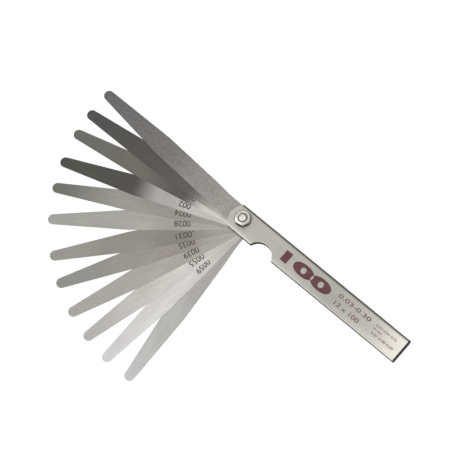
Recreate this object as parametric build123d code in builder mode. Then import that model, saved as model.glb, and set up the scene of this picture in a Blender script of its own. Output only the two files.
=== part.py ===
from build123d import *
import os
from math import cos, radians, sin, sqrt

# Feeler gauge: twelve steel blades fanned out of a folded sheet holder.
# Millimetres, +Z up. The origin is on the pivot axis, at the holder's rear face.
# +X runs along the holder from the pivot to its open end, +Y towards the fold.

os.makedirs("parts", exist_ok=True)

# Holder, one sheet folded over along its +Y side
sheet = 1.0
slot_height = 2.3
holder_thickness = 2 * sheet + slot_height
holder_end_x = 98.4
holder_low_y = -6.85
holder_high_y = 6.25
near_end_centre = (0.3, -0.3)
near_end_radius = 7.8
bend_outer_radius = 2.1
bend_inner_radius = 0.5
edge_round = 0.3
corner_round = 0.6
spine_start_x = -3.0

# Thumb notch in the holder's open side
notch_centre = (16.7, -8.95)
notch_radius = 6.65
notch_lip_radius = 0.6

# Pivot: a stud with a flush head, washers and a nut
pivot_radius = 2.0
running_gap = 0.05
fixed_gap = 0.02
head_radius = 3.5
head_thickness = 0.7
inner_washer_thickness = 0.3
inner_washer_radius = 4.0
front_washer_radius = 4.5
front_washer_thickness = 0.8
nut_across_flats = 7.0
nut_height = 3.2
nut_turn = 7.5
nut_face_radius = 3.1
countersink_radius = 2.6
stud_end_above_nut = 0.3
stud_end_round = 1.1

# Blades: thickness and swing from the closed holder, from the bottom of the stack up
blade_settings = [
    (0.20, -84.9),
    (0.15, -93.7),
    (0.14, -102.3),
    (0.10, -111.0),
    (0.09, -120.6),
    (0.08, -129.3),
    (0.07, -140.6),
    (0.06, -150.4),
    (0.05, -158.7),
    (0.04, -168.2),
    (0.03, -175.5),
    (0.30, -183.4),
]
blade_gap = 0.03
tip_reach = 94.0
blade_half_width = 5.0
waist_half_width = 4.7
waist_x = 13.0
waist_start_x = 6.0
waist_end_x = 22.0
taper_start_x = 55.0
taper_angle = radians(3.85)
butt_radius = 5.0


def circle_height(radius, distance):
    """Half the chord of a circle at a distance from its centre."""
    return sqrt(radius**2 - distance**2)


# Holder: the outline of both plates, the slot between them, and the pivot holes
near_high_x = near_end_centre[0] - circle_height(near_end_radius, holder_high_y - near_end_centre[1])
near_low_x = near_end_centre[0] - circle_height(near_end_radius, holder_low_y - near_end_centre[1])
notch_half_chord = circle_height(notch_radius, holder_low_y - notch_centre[1])
notch_near_x = notch_centre[0] - notch_half_chord
notch_far_x = notch_centre[0] + notch_half_chord
notch_top_y = notch_centre[1] + notch_radius

with BuildPart() as holder:
    with BuildSketch():
        with BuildLine():
            Polyline(
                (near_high_x, holder_high_y),
                (holder_end_x, holder_high_y),
                (holder_end_x, holder_low_y),
                (notch_far_x, holder_low_y),
            )
            ThreePointArc(
                (notch_far_x, holder_low_y),
                (notch_centre[0], notch_top_y),
                (notch_near_x, holder_low_y),
            )
            Line((notch_near_x, holder_low_y), (near_low_x, holder_low_y))
            ThreePointArc(
                (near_low_x, holder_low_y),
                (near_end_centre[0] - near_end_radius, near_end_centre[1]),
                (near_high_x, holder_high_y),
            )
        make_face()
    extrude(amount=holder_thickness)
    folds = holder.edges().filter_by(Axis.X).group_by(Axis.Y)[-1]
    fillet(folds, bend_outer_radius)
    upright = holder.edges().filter_by(Axis.Z)
    lip = upright.sort_by_distance((notch_near_x, holder_low_y, holder_thickness / 2))[:1]
    fillet(lip, notch_lip_radius)
    upright = holder.edges().filter_by(Axis.Z)
    fillet(upright.group_by(Axis.X)[-1], corner_round)
    rims = holder.faces().sort_by(Axis.Z)
    fillet(rims[-1].edges() + rims[0].edges(), edge_round)
    # the slot is open on three sides and stops at the fold
    inner_y = holder_high_y - sheet
    slot_length = holder_end_x + 2 * near_end_radius
    slot_width = inner_y - holder_low_y + sheet
    with BuildSketch(Plane.YZ.offset(holder_end_x + sheet)) as slot_profile:
        with Locations((inner_y, holder_thickness / 2)):
            Rectangle(slot_width, slot_height, align=(Align.MAX, Align.CENTER))
        fillet(slot_profile.vertices().group_by(Axis.X)[-1], bend_inner_radius)
    extrude(amount=-slot_length, mode=Mode.SUBTRACT)
    # the fold stops short of the rounded end, so that the blades can swing past it
    with BuildSketch(Plane.XY.offset(sheet)):
        with Locations((spine_start_x, holder_high_y + sheet)):
            Rectangle(near_end_radius, 3 * sheet, align=(Align.MAX, Align.MAX))
    extrude(amount=slot_height, mode=Mode.SUBTRACT)
    with Locations((0, 0, 0)):
        Hole(radius=pivot_radius + fixed_gap)
    with BuildSketch():
        Circle(head_radius + fixed_gap)
    extrude(amount=head_thickness + fixed_gap, mode=Mode.SUBTRACT)
holder.part.label = "holder"
export_step(holder.part, "parts/holder.step")

# Pivot stud: flush head in the rear plate, plain shank, domed end through the nut
nut_bottom = holder_thickness + front_washer_thickness
nut_top = nut_bottom + nut_height
stud_top = nut_top + stud_end_above_nut
with BuildPart() as pivot_stud:
    with BuildSketch(Plane.XZ):
        with BuildLine():
            Polyline(
                (0, stud_top),
                (0, 0),
                (head_radius, 0),
                (head_radius, head_thickness),
                (pivot_radius, head_thickness),
                (pivot_radius, stud_top),
                close=True,
            )
        make_face()
    revolve(axis=Axis.Z)
    fillet(pivot_stud.edges().group_by(Axis.Z)[-1], stud_end_round)
pivot_stud.part.label = "pivot_stud"
export_step(pivot_stud.part, "parts/pivot_stud.step")

# Inner washers: one each side of the blade stack
rear_washer_z = sheet
front_inner_z = holder_thickness - sheet - inner_washer_thickness
for name, base_z in (("inner_washer_rear", rear_washer_z), ("inner_washer_front", front_inner_z)):
    with BuildPart() as inner_washer:
        with BuildSketch(Plane.XY.offset(base_z)):
            Circle(inner_washer_radius)
            Circle(pivot_radius + running_gap, mode=Mode.SUBTRACT)
        extrude(amount=inner_washer_thickness)
    inner_washer.part.label = name
    export_step(inner_washer.part, f"parts/{name}.step")

# Front washer under the nut
with BuildPart() as front_washer:
    with BuildSketch(Plane.XY.offset(holder_thickness)):
        Circle(front_washer_radius)
        Circle(pivot_radius + running_gap, mode=Mode.SUBTRACT)
    extrude(amount=front_washer_thickness)
    rim = front_washer.edges().filter_by(GeomType.CIRCLE).group_by(Axis.Z)[-1].sort_by(SortBy.RADIUS)[-1]
    fillet(rim, front_washer_thickness / 4)
front_washer.part.label = "front_washer"
export_step(front_washer.part, "parts/front_washer.step")

# Lock nut: hexagon with its corners turned off at 30 degrees, countersunk bore
corner_radius = nut_across_flats / 2 / cos(radians(30))
turned_height = (corner_radius - nut_face_radius) * sin(radians(30)) / cos(radians(30))
with BuildPart() as lock_nut:
    with BuildSketch(Plane.XY.offset(nut_bottom)):
        RegularPolygon(corner_radius, 6, rotation=nut_turn)
    extrude(amount=nut_height)
    with BuildSketch(Plane.XZ):
        with BuildLine():
            Polyline(
                (0, nut_bottom),
                (nut_face_radius, nut_bottom),
                (corner_radius, nut_bottom + turned_height),
                (corner_radius, nut_top - turned_height),
                (nut_face_radius, nut_top),
                (0, nut_top),
                close=True,
            )
        make_face()
    revolve(axis=Axis.Z, mode=Mode.INTERSECT)
    bore_radius = pivot_radius + running_gap
    with BuildSketch(Plane.XY.offset(nut_bottom)):
        Circle(bore_radius)
    extrude(amount=nut_height, mode=Mode.SUBTRACT)
    mouths = lock_nut.edges().filter_by(GeomType.CIRCLE).filter_by(lambda edge: edge.radius < bore_radius + 0.01)
    chamfer(mouths, countersink_radius - bore_radius)
lock_nut.part.label = "lock_nut"
export_step(lock_nut.part, "parts/lock_nut.step")

# Blades: waisted by the pivot, parallel, then tapering to a round tip
tip_room = blade_half_width * cos(taper_angle) - (tip_reach - taper_start_x) * sin(taper_angle)
tip_radius = tip_room / (1 - sin(taper_angle))
tip_centre_x = tip_reach - tip_radius
tip_tangent = (tip_centre_x + tip_radius * sin(taper_angle), tip_radius * cos(taper_angle))

blade_z = sheet + inner_washer_thickness + blade_gap
for thickness, swing in blade_settings:
    name = f"blade_{thickness:.2f}mm".replace(".", "_")
    with BuildPart() as blade:
        with BuildSketch(Plane.XY.offset(blade_z).rotated((0, 0, swing))):
            with BuildLine():
                side = Polyline(
                    (0, butt_radius),
                    (waist_start_x, butt_radius),
                    (waist_x, waist_half_width),
                    (waist_end_x, blade_half_width),
                    (taper_start_x, blade_half_width),
                    tip_tangent,
                )
                mirror(side, about=Plane.XZ)
                ThreePointArc(tip_tangent, (tip_reach, 0), (tip_tangent[0], -tip_tangent[1]))
                ThreePointArc((0, butt_radius), (-butt_radius, 0), (0, -butt_radius))
            make_face()
            Circle(pivot_radius + running_gap, mode=Mode.SUBTRACT)
        extrude(amount=thickness)
    blade.part.label = name
    export_step(blade.part, f"parts/{name}.step")
    blade_z += thickness + blade_gap
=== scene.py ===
import bpy
import math
from mathutils import Matrix, Vector


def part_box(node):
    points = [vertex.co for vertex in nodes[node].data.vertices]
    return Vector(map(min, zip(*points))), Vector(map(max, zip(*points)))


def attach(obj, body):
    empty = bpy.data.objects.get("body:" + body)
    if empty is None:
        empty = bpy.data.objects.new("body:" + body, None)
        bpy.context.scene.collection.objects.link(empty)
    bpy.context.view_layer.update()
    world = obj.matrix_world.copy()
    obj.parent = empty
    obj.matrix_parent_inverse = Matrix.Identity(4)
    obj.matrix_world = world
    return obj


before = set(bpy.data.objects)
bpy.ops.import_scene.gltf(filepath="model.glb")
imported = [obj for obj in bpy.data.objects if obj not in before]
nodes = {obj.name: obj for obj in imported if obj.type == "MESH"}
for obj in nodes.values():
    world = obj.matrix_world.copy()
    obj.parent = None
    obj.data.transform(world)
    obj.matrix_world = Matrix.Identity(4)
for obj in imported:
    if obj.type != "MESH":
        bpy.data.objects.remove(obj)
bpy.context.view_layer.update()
mm = 0.001  # one millimetre in scene units
middle = (0.3, 0.7)  # the part of a noise where most of it lies
peaks = (0.68, 0.76)  # the few spots of a noise that show as scratches
softEnds = {"interpolation_type": "SMOOTHSTEP"}


# small helpers

def srgbToLinear(hexColour):
    # "#rrggbb" to the linear colour that the shaders expect
    parts = [int(hexColour[i:i + 2], 16) / 255 for i in (1, 3, 5)]
    linear = [p / 12.92 if p <= 0.04045 else ((p + 0.055) / 1.055) ** 2.4 for p in parts]
    return (*linear, 1.0)


def addNode(tree, kind, settings=None, values=None, links=None):
    # one node with its settings, its socket values and the sockets that feed it
    node = tree.nodes.new(kind)
    for key, value in (settings or {}).items():
        setattr(node, key, value)
    for key, value in (values or {}).items():
        node.inputs[key].default_value = value
    for key, source in (links or {}).items():
        tree.links.new(source, node.inputs[key])
    return node


def newMaterial(name, metallic=1.0):
    # an empty material with one principled shader on its output
    material = bpy.data.materials.new(name)
    material.use_nodes = True
    tree = material.node_tree
    tree.nodes.clear()
    shader = addNode(tree, "ShaderNodeBsdfPrincipled", values={"Metallic": metallic})
    addNode(tree, "ShaderNodeOutputMaterial", links={"Surface": shader.outputs[0]})
    return material, tree, shader


def fillRamp(node, stops):
    # stops are (position, hex colour) from low to high
    elements = node.color_ramp.elements
    while len(elements) < len(stops):
        elements.new(0.5)
    for element, (position, colour) in zip(elements, stops):
        element.position = position
        element.color = srgbToLinear(colour)


def noise(tree, place, size, detail=2.0, roughness=0.5):
    # noise with cells of the given size in mm, one number or one for each axis
    sizes = size if isinstance(size, tuple) else (size, size, size)
    scaled = addNode(tree, "ShaderNodeMapping", values={"Scale": [1 / (s * mm) for s in sizes]},
                     links={"Vector": place})
    node = addNode(tree, "ShaderNodeTexNoise", links={"Vector": scaled.outputs[0]},
                   values={"Scale": 1.0, "Detail": detail, "Roughness": roughness})
    return node.outputs[0]


def patterns(tree, *layers):
    # grey values from noises: a layer is the noise, the part of it that counts, and the values it gives
    return [addNode(tree, "ShaderNodeMapRange", values={1: near, 2: far, 3: low, 4: high},
                    links={0: source}).outputs[0]
            for source, (near, far), (low, high) in layers]


def combine(tree, operation, sources):
    # several grey values joined into one, by a sum or a product
    result = sources[0]
    for source in sources[1:]:
        joined = addNode(tree, "ShaderNodeMath", {"operation": operation}, links={0: result, 1: source})
        result = joined.outputs[0]
    return result


def around(value, spread):
    # a value with its lowest and highest departure
    return value + spread[0], value + spread[1]


def setMaterial(name, material):
    slots = nodes[name].data.materials
    slots.clear()
    slots.append(material)


# blades

blade = {
    "reach": 94.0,  # mm, pivot to tip
    "streak": (16.0, 0.5, 2.0),  # mm, one grinding streak, drawn ten times too wide so that it shows
    "scratch": (9.0, 0.22, 2.0),  # mm, a few finer scratches from use, also drawn too wide
    "mottle": 1.1,  # mm, cloudy grain of the strip
    "smudge": 13.0,  # mm, patches left by handling
    "wave": (18.0, 9.0, 9.0),  # mm, length and width of a slow wave in the strip
    "streakLight": (0.93, 1.07),  # darkest and lightest, as a share of the tone
    "scratchLight": (1.0, 1.12),
    "smudgeLight": (0.97, 1.03),
    "mottleLight": 1.05,
    "thickMottleLight": 1.16,  # the thickest blade has a coarser skin
    "roughness": 0.34,
    "foilRoughness": 0.26,
    "streakRough": (-0.04, 0.05),
    "smudgeRough": (0.0, 0.06),
    "streakDepth": 0.004,  # mm
    "waveDepth": 0.01,  # mm, how far a blade is out of flat
    "foilWaveDepth": 0.05,
    "anisotropy": 0.5,
    "foils": ("0_03mm", "0_04mm", "0_05mm"),  # thin enough to curl
    "thickest": "0_30mm",
}

# name, swing from closed in degrees, tones by radius in mm that paint in the light and dark of reflections,
# inch mark
bladeSettings = [
    ("0_20mm", -84.9, [(12, "#b0ada9"), (35, "#bbb8b4"), (60, "#c2c2be"), (90, "#cecdcc")], ""),
    ("0_15mm", -93.7, [(12, "#ccc6c1"), (35, "#e5dfdc"), (60, "#e6e4e0"), (90, "#e4e2e2")], ".0059"),
    ("0_14mm", -102.3, [(12, "#d1ccc6"), (35, "#e4e0db"), (60, "#d7d4cf"), (90, "#cccac7")], ".0055"),
    ("0_10mm", -111.0, [(12, "#bcb7b1"), (35, "#bcb8b1"), (60, "#bdb9b4"), (90, "#bebbb5")], ".0039"),
    ("0_09mm", -120.6, [(12, "#c2bcb6"), (30, "#a9a39b"), (60, "#aaa7a0"), (90, "#a3a39f")], ".0035"),
    ("0_08mm", -129.3, [(12, "#b4b1a9"), (30, "#99948d"), (60, "#a4a09a"), (90, "#b0aca6")], ".0031"),
    ("0_07mm", -140.6, [(12, "#bcb8b3"), (32, "#b6b2ab"), (55, "#bdbab5"), (90, "#b8b8b2")], ".0028"),
    ("0_06mm", -150.4, [(15, "#afaba6"), (32, "#a9a59f"), (60, "#adaaa4"), (90, "#84837d")], ".0024"),
    ("0_05mm", -158.7, [(20, "#d8d4cf"), (41, "#c0bcb9"), (57, "#605d59"), (90, "#5f5f58")], ".002"),
    ("0_04mm", -168.2, [(18, "#e9e5e0"), (32, "#6a6562"), (60, "#7e7973"), (90, "#7a7c76")], ".0016"),
    ("0_03mm", -175.5, [(10, "#cdcac4"), (32, "#6c6865"), (60, "#63615c"), (90, "#5f5f5f")], ""),
    ("0_30mm", -183.4, [(12, "#afaca7"), (30, "#a09c98"), (50, "#888582"), (90, "#797979")], ""),
]


def groundSpringSteel(name, swing, paintedLightTones, roughness, mottleLight, waveDepth):
    # cold-rolled spring steel strip, ground lengthwise: fine streaks and a soft stretched highlight, a cloudy
    # grain, and on the thinnest foils a slow wave that bends what they mirror; the light and dark reflections
    # along each blade are painted into its base colour by radius
    material, tree, shader = newMaterial(name)
    place = addNode(tree, "ShaderNodeTexCoord").outputs["Object"]
    along = addNode(tree, "ShaderNodeMapping", {"vector_type": "TEXTURE"},
                    {"Rotation": (0, 0, math.radians(swing))}, {"Vector": place}).outputs[0]
    radius = addNode(tree, "ShaderNodeVectorMath", {"operation": "LENGTH"}, links={0: place})
    part = addNode(tree, "ShaderNodeMath", {"operation": "DIVIDE"}, {1: blade["reach"] * mm},
                   {0: radius.outputs["Value"]})
    # painted reflections: the base colour runs light and dark by radius along the blade, standing in for what
    # it mirrors
    tone = addNode(tree, "ShaderNodeValToRGB", links={"Fac": part.outputs[0]})
    tone.color_ramp.interpolation = "EASE"
    fillRamp(tone, [(r / blade["reach"], colour) for r, colour in paintedLightTones])
    streak = noise(tree, along, blade["streak"], 3.0, 0.65)
    scratch = noise(tree, along, blade["scratch"], 1.0)
    mottle = noise(tree, along, blade["mottle"], 3.0, 0.6)
    smudge = noise(tree, place, blade["smudge"], 1.0)
    wave = noise(tree, along, blade["wave"], 1.0)
    light = combine(tree, "MULTIPLY", patterns(
        tree,
        (streak, middle, blade["streakLight"]),
        (mottle, middle, (2 - mottleLight, mottleLight)),
        (scratch, peaks, blade["scratchLight"]),
        (smudge, middle, blade["smudgeLight"])))
    rough = combine(tree, "ADD", patterns(
        tree,
        (streak, middle, around(roughness, blade["streakRough"])),
        (smudge, middle, blade["smudgeRough"])))
    slow = addNode(tree, "ShaderNodeBump", values={"Strength": 1.0, "Distance": waveDepth * mm},
                   links={"Height": wave})
    fine = addNode(tree, "ShaderNodeBump", values={"Strength": 0.6, "Distance": blade["streakDepth"] * mm},
                   links={"Height": streak, "Normal": slow.outputs[0]})
    colour = addNode(tree, "ShaderNodeVectorMath", {"operation": "SCALE"},
                     links={0: tone.outputs[0], "Scale": light})
    shader.inputs["Anisotropic"].default_value = blade["anisotropy"]
    tree.links.new(colour.outputs[0], shader.inputs["Base Color"])
    tree.links.new(rough, shader.inputs["Roughness"])
    tree.links.new(fine.outputs[0], shader.inputs["Normal"])
    return material


for size, swing, paintedLightTones, _ in bladeSettings:
    foil = size in blade["foils"]
    setMaterial("blade_" + size, groundSpringSteel(
        "groundSpringSteel" + size, swing, paintedLightTones,
        blade["foilRoughness"] if foil else blade["roughness"],
        blade["thickMottleLight"] if size == blade["thickest"] else blade["mottleLight"],
        blade["foilWaveDepth"] if foil else blade["waveDepth"]))
print("blades: steel on", len(bladeSettings))


# numbers etched on the blades

figureSize = 4.0  # mm, figures are drawn at this size and then stretched to their place

mark = {
    "radius": 28.8,  # mm from the pivot to the middle of the number
    "offset": 1.75,  # mm from the blade's centre line, away from the neighbour above
    "pitch": 1.95,  # mm along the blade for one figure; the point takes half of one
    "height": 3.0,  # mm
    "weight": 0.05,  # mm added to the outline
    "lift": 0.008,  # mm off the steel; the next blade is 0.03 mm away
    "colours": ("#4a4744", "#67635e"),
    "metallic": 0.3,
    "grain": 0.35,  # mm
    "roughness": (0.5, 0.75),
}


def etchedBlack(name):
    # electrolytic marking: a thin dull dark oxide, a little uneven, that keeps no highlight
    material, tree, shader = newMaterial(name, mark["metallic"])
    place = addNode(tree, "ShaderNodeTexCoord").outputs["Object"]
    uneven = noise(tree, place, mark["grain"], 3.0)
    base = addNode(tree, "ShaderNodeValToRGB", links={"Fac": uneven})
    fillRamp(base, list(zip((0.35, 0.7), mark["colours"])))
    rough, = patterns(tree, (uneven, middle, mark["roughness"]))
    tree.links.new(base.outputs[0], shader.inputs["Base Color"])
    tree.links.new(rough, shader.inputs["Roughness"])
    return material


def figureTree():
    # Geometry Nodes: figures from a string, made heavier along their outline, then filled
    tree = bpy.data.node_groups.new("figures", "GeometryNodeTree")
    sockets = {}
    for name, kind in (("Text", "String"), ("Weight", "Float"), ("Material", "Material")):
        socket = tree.interface.new_socket(name, in_out="INPUT", socket_type="NodeSocket" + kind)
        sockets[name] = socket.identifier
    tree.interface.new_socket("Geometry", in_out="OUTPUT", socket_type="NodeSocketGeometry")
    source = addNode(tree, "NodeGroupInput").outputs
    figures = addNode(tree, "GeometryNodeStringToCurves", values={"Size": figureSize * mm},
                      links={"String": source["Text"]})
    single = addNode(tree, "GeometryNodeRealizeInstances",
                     links={"Geometry": figures.outputs["Curve Instances"]})
    outline = addNode(tree, "GeometryNodeResampleCurve", {"mode": "EVALUATED"},
                      links={"Curve": single.outputs[0]})
    tangent = addNode(tree, "GeometryNodeInputTangent")
    outward = addNode(tree, "ShaderNodeVectorMath", {"operation": "CROSS_PRODUCT"}, {1: (0, 0, 1)},
                      {0: tangent.outputs[0]})
    grow = addNode(tree, "ShaderNodeVectorMath", {"operation": "SCALE"},
                   links={0: outward.outputs[0], "Scale": source["Weight"]})
    heavy = addNode(tree, "GeometryNodeSetPosition",
                    links={"Geometry": outline.outputs[0], "Offset": grow.outputs[0]})
    filled = addNode(tree, "GeometryNodeFillCurve", links={"Curve": heavy.outputs[0]})
    real = addNode(tree, "GeometryNodeRealizeInstances", links={"Geometry": filled.outputs[0]})
    coloured = addNode(tree, "GeometryNodeSetMaterial",
                       links={"Geometry": real.outputs[0], "Material": source["Material"]})
    addNode(tree, "NodeGroupOutput", links={"Geometry": coloured.outputs[0]})
    return tree, sockets


figuresGroup, figuresSockets = figureTree()


def addFigures(name, text, weight, material, width, height, place):
    # bakes one line of figures, stretches it to width and height in mm and lays it at a place
    source = bpy.data.objects.new("figures", bpy.data.meshes.new("figures"))
    bpy.context.scene.collection.objects.link(source)
    modifier = source.modifiers.new("figures", "NODES")
    modifier.node_group = figuresGroup
    for key, value in (("Text", text), ("Weight", weight * mm), ("Material", material)):
        modifier[figuresSockets[key]] = value
    bpy.context.view_layer.update()
    mesh = bpy.data.meshes.new_from_object(source.evaluated_get(bpy.context.evaluated_depsgraph_get()))
    bpy.data.objects.remove(source)
    low = [min(v.co[axis] for v in mesh.vertices) for axis in (0, 1)]
    high = [max(v.co[axis] for v in mesh.vertices) for axis in (0, 1)]
    stretch = Matrix.Diagonal((width * mm / (high[0] - low[0]), height * mm / (high[1] - low[1]), 1, 1))
    centre = Vector(((low[0] + high[0]) / 2, (low[1] + high[1]) / 2, 0))
    mesh.transform(place @ stretch @ Matrix.Translation(-centre))
    piece = bpy.data.objects.new(name, mesh)
    bpy.context.scene.collection.objects.link(piece)
    return piece


etched = etchedBlack("etchedBlack")
for size, swing, _, inch in bladeSettings:
    low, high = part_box("blade_" + size)
    turn = Matrix.Rotation(math.radians(swing), 4, "Z")
    side = Matrix.Translation((mark["radius"] * mm, mark["offset"] * mm, 0))
    # the top carries inches, the underside the same size in millimetres, read from below
    over = Matrix.Rotation(math.pi, 4, "X")
    faces = [("Mm", size.replace("_", ".")[:-2], over, low[2] - mark["lift"] * mm)]
    if inch:
        faces.append(("Inch", inch, Matrix.Identity(4), high[2] + mark["lift"] * mm))
    for unit, text, flip, level in faces:
        place = Matrix.Translation((0, 0, level)) @ turn @ side @ flip
        width = mark["pitch"] * (len(text) - 0.5)
        piece = addFigures("figures" + unit + size, text, mark["weight"], etched,
                           width, mark["height"], place)
        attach(piece, "blade_" + size)
print("figures: inches on top, millimetres underneath")


# holder

holder = {
    # x in mm and the painted tone of the steel there: painted light, lightest at the open end
    "paintedLightTones": [(-8, "#cfcdc5"), (16, "#c3c1b9"), (56, "#b2b1a9"), (80, "#c0beb6"), (97, "#dcd8cf")],
    "paintedRimHighlight": [(-7.0, 1.14), (-4.2, 1.0)],  # y in mm, and how much brighter the rolled rim is painted: a painted highlight
    "paintedShade": "#3a3734",  # painted shade: the cut edges, the inside of the fold and the open end are painted this dark colour
    "streak": (34.0, 0.35, 0.35),  # mm, satin streaks, drawn coarser than the real ones so that they show
    "scratch": (7.0, 0.25, 0.25),  # mm
    "cloud": 11.0,  # mm, slow unevenness of the finish
    "grit": 0.3,  # mm, grain of the satin
    "streakLight": (0.95, 1.05),  # darkest and lightest, as a share of the tone
    "scratchLight": (1.0, 1.08),
    "gritLight": (0.98, 1.02),
    "cloudLight": (0.97, 1.03),
    "roughness": 0.27,
    "streakRough": (-0.03, 0.05),
    "cloudRough": (0.0, 0.05),
    "streakDepth": 0.006,  # mm
    "anisotropy": 0.3,
    "edge": 0.28,  # mm, the rim's rounding, below which the cut edge begins
    "outerSkin": 0.5,  # mm, the fold's outer side, which stays bright
    "endBand": 0.75,  # mm, the open end is painted dark over this length, painted shade
    "rollWidth": 1.1,  # mm, how far the pressed edge rolls in from the rim
    "rollDepth": 0.4,  # mm
    "scuffRadius": 5.2,  # mm, rubbed ring where the washer turns
    "scuffFade": 1.6,  # mm
    "scuffLight": 0.93,
}


def satinStainlessSheet(name):
    # rolled stainless sheet, satin finished lengthwise: soft warm grey with painted light that grows lighter
    # towards the open end, fine streaks, rolled edges that catch the light as a line helped by a painted
    # highlight along the lower rim, and painted shade inside the fold, on the cut edges and at the open end
    material, tree, shader = newMaterial(name)
    low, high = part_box("holder")
    place = addNode(tree, "ShaderNodeTexCoord").outputs["Object"]
    axes = addNode(tree, "ShaderNodeSeparateXYZ", links={0: place}).outputs
    streak = noise(tree, place, holder["streak"], 4.0, 0.65)
    scratch = noise(tree, place, holder["scratch"], 1.0)
    cloud = noise(tree, place, holder["cloud"], 1.0)
    grit = noise(tree, place, holder["grit"], 2.0)
    # painted light: the base colour grows lighter towards the open end
    part = addNode(tree, "ShaderNodeMapRange", values={1: low[0], 2: high[0], 3: 0.0, 4: 1.0},
                   links={0: axes["X"]})
    base = addNode(tree, "ShaderNodeValToRGB", links={"Fac": part.outputs[0]})
    fillRamp(base, [(max(0, x * mm - low[0]) / (high[0] - low[0]), colour) for x, colour in holder["paintedLightTones"]])
    reach = addNode(tree, "ShaderNodeVectorMath", {"operation": "LENGTH"}, links={0: place})
    scuffEnd = holder["scuffRadius"] + holder["scuffFade"]
    scuff = addNode(tree, "ShaderNodeMapRange", softEnds,
                    {1: holder["scuffRadius"] * mm, 2: scuffEnd * mm, 3: holder["scuffLight"], 4: 1.0},
                    {0: reach.outputs["Value"]})
    # painted highlight: the base colour is made brighter towards the lower rim
    (rimY, rimGain), (faceY, faceGain) = holder["paintedRimHighlight"]
    rim = addNode(tree, "ShaderNodeMapRange", softEnds,
                  {1: rimY * mm, 2: faceY * mm, 3: rimGain, 4: faceGain}, {0: axes["Y"]})
    light = combine(tree, "MULTIPLY", patterns(
        tree,
        (streak, middle, holder["streakLight"]),
        (scratch, peaks, holder["scratchLight"]),
        (grit, middle, holder["gritLight"]),
        (cloud, middle, holder["cloudLight"])) + [scuff.outputs[0], rim.outputs[0]])
    # painted shade on the cut edges, inside the slot between the two sheets, and at the open end
    limits = (("Z", "GREATER_THAN", low[2] + holder["edge"] * mm),
              ("Z", "LESS_THAN", high[2] - holder["edge"] * mm),
              ("Y", "LESS_THAN", high[1] - holder["outerSkin"] * mm),
              ("X", "GREATER_THAN", high[0] - holder["endBand"] * mm))
    *slot, end = [addNode(tree, "ShaderNodeMath", {"operation": kind}, {1: level}, {0: axes[axis]}).outputs[0]
                  for axis, kind, level in limits]
    paintedShade = combine(tree, "MULTIPLY", slot)
    dark = addNode(tree, "ShaderNodeMath", {"operation": "MAXIMUM"}, links={0: paintedShade, 1: end})
    bright = addNode(tree, "ShaderNodeVectorMath", {"operation": "SCALE"},
                     links={0: base.outputs[0], "Scale": light})
    colour = addNode(tree, "ShaderNodeMix", {"data_type": "RGBA"}, {"B": srgbToLinear(holder["paintedShade"])},
                     {"Factor": dark.outputs[0], "A": bright.outputs[0]})
    rough = combine(tree, "ADD", patterns(
        tree,
        (streak, middle, around(holder["roughness"], holder["streakRough"])),
        (cloud, middle, holder["cloudRough"])))
    # the pressed edges drop away over the last millimetre
    drop = addNode(tree, "ShaderNodeMapRange", links={0: axes["Y"]},
                   values={1: low[1], 2: low[1] + holder["rollWidth"] * mm, 3: 0.0, 4: 1.0})
    roll = addNode(tree, "ShaderNodeBump", values={"Strength": 1.0, "Distance": holder["rollDepth"] * mm},
                   links={"Height": drop.outputs[0]})
    fine = addNode(tree, "ShaderNodeBump", values={"Strength": 0.6, "Distance": holder["streakDepth"] * mm},
                   links={"Height": streak, "Normal": roll.outputs[0]})
    shader.inputs["Anisotropic"].default_value = holder["anisotropy"]
    tree.links.new(colour.outputs["Result"], shader.inputs["Base Color"])
    tree.links.new(rough, shader.inputs["Roughness"])
    tree.links.new(fine.outputs[0], shader.inputs["Normal"])
    return material


setMaterial("holder", satinStainlessSheet("satinStainlessSheet"))
print("holder: satin sheet")


# pivot fittings

turned = {
    "ring": (0.12, 1.0, 0.5),  # mm, spacing of the tool marks outwards and along the axis
    "ringDepth": 0.004,  # mm
    "ringRough": (-0.03, 0.05),
    "speck": 0.45,  # mm, mottle of the plating
    "speckRough": (0.0, 0.06),
    "span": 5.0,  # mm, the radius at which the painted shade bands end
}


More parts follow.
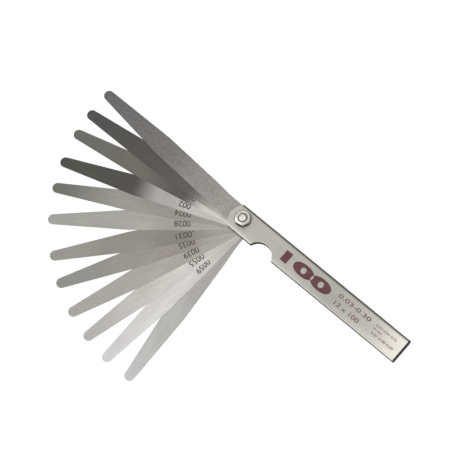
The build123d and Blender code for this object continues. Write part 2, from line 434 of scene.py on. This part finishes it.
def turnedSteel(name, settings):
    # turned and plated steel: concentric tool marks about the pivot and a crisp highlight, with painted shade
    # by radius and on the nut's flanks
    material, tree, shader = newMaterial(name)
    place = addNode(tree, "ShaderNodeTexCoord").outputs["Object"]
    axes = addNode(tree, "ShaderNodeSeparateXYZ", links={0: place}).outputs
    flat = addNode(tree, "ShaderNodeCombineXYZ", links={0: axes["X"], 1: axes["Y"]})
    reach = addNode(tree, "ShaderNodeVectorMath", {"operation": "LENGTH"},
                    links={0: flat.outputs[0]}).outputs["Value"]
    ring = addNode(tree, "ShaderNodeCombineXYZ", links={0: reach, 2: axes["Z"]})
    rings = noise(tree, ring.outputs[0], turned["ring"], 2.0)
    speck = noise(tree, place, turned["speck"], 3.0)
    base = addNode(tree, "ShaderNodeValToRGB", links={"Fac": speck})
    fillRamp(base, list(zip(middle, settings["colours"])))
    part = addNode(tree, "ShaderNodeMath", {"operation": "DIVIDE"}, {1: turned["span"] * mm}, {0: reach})
    # painted shade: greys by radius darken the nut's countersink, the stud's edge and the washer beside the
    # nut
    band = addNode(tree, "ShaderNodeValToRGB", links={"Fac": part.outputs[0]})
    shadeBands = settings.get("shadeBands", [(0, "#ffffff"), (turned["span"], "#ffffff")])
    fillRamp(band, [(radius / turned["span"], grey) for radius, grey in shadeBands])
    # painted shade: below the bright turned face the flanks are darkened, on the nut to 5 % of its tone
    top, depth, dark = settings.get("shadedFlank", (0, 1, 1.0))
    shadedFlank = addNode(tree, "ShaderNodeMapRange", softEnds,
                    {1: (top - depth) * mm, 2: top * mm, 3: dark, 4: 1.0}, {0: axes["Z"]})
    light = combine(tree, "MULTIPLY", [band.outputs[0], shadedFlank.outputs[0]])
    rough = combine(tree, "ADD", patterns(
        tree,
        (rings, middle, around(settings["roughness"], turned["ringRough"])),
        (speck, middle, turned["speckRough"])))
    bump = addNode(tree, "ShaderNodeBump", values={"Strength": 0.5, "Distance": turned["ringDepth"] * mm},
                   links={"Height": rings})
    colour = addNode(tree, "ShaderNodeVectorMath", {"operation": "SCALE"},
                     links={0: base.outputs[0], "Scale": light})
    tree.links.new(colour.outputs[0], shader.inputs["Base Color"])
    tree.links.new(rough, shader.inputs["Roughness"])
    tree.links.new(bump.outputs[0], shader.inputs["Normal"])
    return material


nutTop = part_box("lock_nut")[1][2] / mm
fittings = {
    # finish and settings: the bands are greys by radius in mm, painted shade in the nut's countersink, round
    # the stud's edge and on the washer next to the nut, and the flank is the height in mm where the bright
    # turned face ends, over what depth, and how dark the painted shade on the flanks is below
    "lock_nut": ("nickelPlatedNut", {
        "colours": ("#e9e6df", "#f4f2ed"), "roughness": 0.17, "shadedFlank": (nutTop - 0.25, 0.35, 0.05),
        "shadeBands": [(2.05, "#dcdcdc"), (2.5, "#f0f0f0"), (2.65, "#ffffff"), (5, "#ffffff")]}),
    "pivot_stud": ("nickelPlatedStud", {
        "colours": ("#eae7e1", "#f5f3ee"), "roughness": 0.3,
        "shadeBands": [(1.3, "#ffffff"), (1.6, "#f0f0f0"), (3.4, "#dddddd")]}),
    "front_washer": ("nickelPlatedWasher", {
        "colours": ("#b2aea7", "#c8c4bd"), "roughness": 0.22,
        "shadeBands": [(3.4, "#5c5c5c"), (4.3, "#ffffff")]}),
    "inner_washer_rear": ("plainWasherRear", {"colours": ("#8d8a85", "#a19e98"), "roughness": 0.35}),
    "inner_washer_front": ("plainWasherFront", {"colours": ("#8d8a85", "#a19e98"), "roughness": 0.35}),
}
for name, (finish, settings) in fittings.items():
    setMaterial(name, turnedSteel(finish, settings))
print("pivot: finishes on", len(fittings))


# marks printed on the holder: plain figures for its length, range and sizes

printed = {
    "lift": 0.004,  # mm of ink on the face
    "inks": {"strong": ("darkRedInk", "#5a2a31", "#7a4a50"),  # name, full ink, rubbed ink
             "faint": ("fadedRedInk", "#74504f", "#8d6c69")},
    "rub": (2.5, 0.4, 1.0),  # mm, rubbed patches, longest along the holder
    "roughness": (0.4, 0.6),
    # text, left, right, low and high edge in mm, extra weight in mm, ink
    "lines": [
        ("100", 25.8, 54.7, -3.8, 2.4, 0.22, "strong"),
        ("0.03-0.30", 58.6, 77.9, 0.3, 2.4, 0.06, "faint"),
        ("12 x 100", 59.1, 73.8, -4.0, -1.7, 0.06, "faint"),
        ("0.03 0.04 0.05", 81.2, 93.4, 0.9, 2.1, 0.05, "faint"),
        ("0.06", 81.0, 86.1, -1.0, -0.1, 0.05, "faint"),
        ("0.07 0.08 0.09", 81.5, 94.5, -3.5, -2.1, 0.05, "faint"),
    ],
}


def screenInk(name, colour, wear):
    # screen-printed enamel ink: slightly raised, half matt, thinner where it is rubbed
    material, tree, shader = newMaterial(name, 0.0)
    place = addNode(tree, "ShaderNodeTexCoord").outputs["Object"]
    rub = noise(tree, place, printed["rub"], 3.0)
    base = addNode(tree, "ShaderNodeValToRGB", links={"Fac": rub})
    fillRamp(base, [(0.35, colour), (0.75, wear)])
    rough, = patterns(tree, (rub, middle, printed["roughness"]))
    tree.links.new(base.outputs[0], shader.inputs["Base Color"])
    tree.links.new(rough, shader.inputs["Roughness"])
    return material


inks = {key: screenInk(*settings) for key, settings in printed["inks"].items()}
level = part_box("holder")[1][2] + printed["lift"] * mm
for number, (text, left, right, bottom, top, weight, ink) in enumerate(printed["lines"]):
    place = Matrix.Translation(((left + right) / 2 * mm, (bottom + top) / 2 * mm, level))
    piece = addFigures("printedLine%d" % number, text, weight, inks[ink], right - left, top - bottom, place)
    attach(piece, "holder")
print("printing:", len(printed["lines"]), "lines")


# studio

studio = {
    "target": (-0.002007, -0.007619, 0.00215),  # m, the point that the camera looks at
    "azimuth": 57.525,  # degrees
    "elevation": 74.126,
    "roll": -17.022,
    "distance": 1.04511,  # m
    "lens": 172.174,  # mm
    "sensor": 36,  # mm
    "sight": 20,  # m, how far the camera sees
    "floor": "#8e8e8e",
    "floorRoughness": 0.9,
    "floorGlow": 0.86,  # the sheet glows from below, so it stays white right up to the gauge's edges
    "floorHalf": 4.0,  # m
    "floorLevel": -0.0001,  # m, just under the gauge
    "brightSide": (-0.35, -0.94, 0.0),
    "sideReach": (0.3, 0.85),  # how far towards that side the light begins and is full
    "sideLight": (0.42, 1.8),
    "zenith": 0.8,
    "zenithReach": (0.55, 0.92),  # heights between which the overhead light takes over
    "horizonReach": (0.0, 0.25),
    "horizonLight": (0.35, 1.0),
    "endPanel": {"place": (0.15, 0.08, 0.6), "aim": (0.15, 0.08, 0.0), "size": (0.22, 0.4), "power": 0.4},
}


def addCamera():
    azimuth, elevation, roll = (math.radians(studio[key]) for key in ("azimuth", "elevation", "roll"))
    forward = Vector((-math.cos(elevation) * math.sin(azimuth), math.cos(elevation) * math.cos(azimuth),
                      -math.sin(elevation)))
    level = Vector((math.cos(azimuth), math.sin(azimuth), 0))
    right = math.cos(roll) * level + math.sin(roll) * level.cross(forward)
    up = right.cross(forward)
    turn = Matrix((right, up, -forward)).transposed().to_4x4()
    data = bpy.data.cameras.new("camera")
    data.lens = studio["lens"]
    data.sensor_width = studio["sensor"]
    data.clip_end = studio["sight"]
    camera = bpy.data.objects.new("camera", data)
    camera.matrix_world = Matrix.Translation(Vector(studio["target"]) - forward * studio["distance"]) @ turn
    bpy.context.scene.collection.objects.link(camera)
    bpy.context.scene.camera = camera


def addFloor():
    half = studio["floorHalf"]
    level = studio["floorLevel"]
    mesh = bpy.data.meshes.new("floor")
    mesh.from_pydata([(-half, -half, level), (half, -half, level), (half, half, level), (-half, half, level)],
                     [], [(0, 1, 2, 3)])
    floor = bpy.data.objects.new("floor", mesh)
    material, _, shader = newMaterial("paleFloor", 0.0)
    shader.inputs["Roughness"].default_value = studio["floorRoughness"]
    shader.inputs["Base Color"].default_value = srgbToLinear(studio["floor"])
    shader.inputs["Emission Color"].default_value = (1, 1, 1, 1)
    shader.inputs["Emission Strength"].default_value = studio["floorGlow"]
    mesh.materials.append(material)
    bpy.context.scene.collection.objects.link(floor)


def addWorld():
    # a soft tent: even overhead, brighter low on one side and darker on the other
    world = bpy.data.worlds.new("studio")
    world.use_nodes = True
    tree = world.node_tree
    direction = addNode(tree, "ShaderNodeTexCoord").outputs["Generated"]
    height = addNode(tree, "ShaderNodeSeparateXYZ", links={0: direction}).outputs["Z"]
    side = addNode(tree, "ShaderNodeVectorMath", {"operation": "DOT_PRODUCT"}, {1: studio["brightSide"]},
                   {0: direction}).outputs["Value"]
    lowLight, overhead, horizon = [
        addNode(tree, "ShaderNodeMapRange", softEnds, {1: near, 2: far, 3: low, 4: high},
                {0: source}).outputs[0]
        for source, (near, far), (low, high) in ((side, studio["sideReach"], studio["sideLight"]),
                                                 (height, studio["zenithReach"], (0.0, 1.0)),
                                                 (height, studio["horizonReach"], studio["horizonLight"]))]
    mixed = addNode(tree, "ShaderNodeMix", {"data_type": "FLOAT"}, {"B": studio["zenith"]},
                    {"Factor": overhead, "A": lowLight}).outputs["Result"]
    background = tree.nodes["Background"].inputs
    background["Color"].default_value = (1, 1, 1, 1)
    tree.links.new(combine(tree, "MULTIPLY", [mixed, horizon]), background["Strength"])
    bpy.context.scene.world = world


def addPanel(name, panel):
    # a softbox turned towards a point
    data = bpy.data.lights.new(name, "AREA")
    data.shape = "RECTANGLE"
    data.size, data.size_y = panel["size"]
    data.energy = panel["power"]
    lamp = bpy.data.objects.new(name, data)
    away = Vector(panel["aim"]) - Vector(panel["place"])
    turn = away.to_track_quat("-Z", "Y").to_matrix().to_4x4()
    lamp.matrix_world = Matrix.Translation(panel["place"]) @ turn
    lamp.visible_camera = False
    bpy.context.scene.collection.objects.link(lamp)


addCamera()
addFloor()
addWorld()
addPanel("endPanel", studio["endPanel"])
bpy.context.scene.view_settings.view_transform = "Standard"
print("studio: camera, floor and lights")
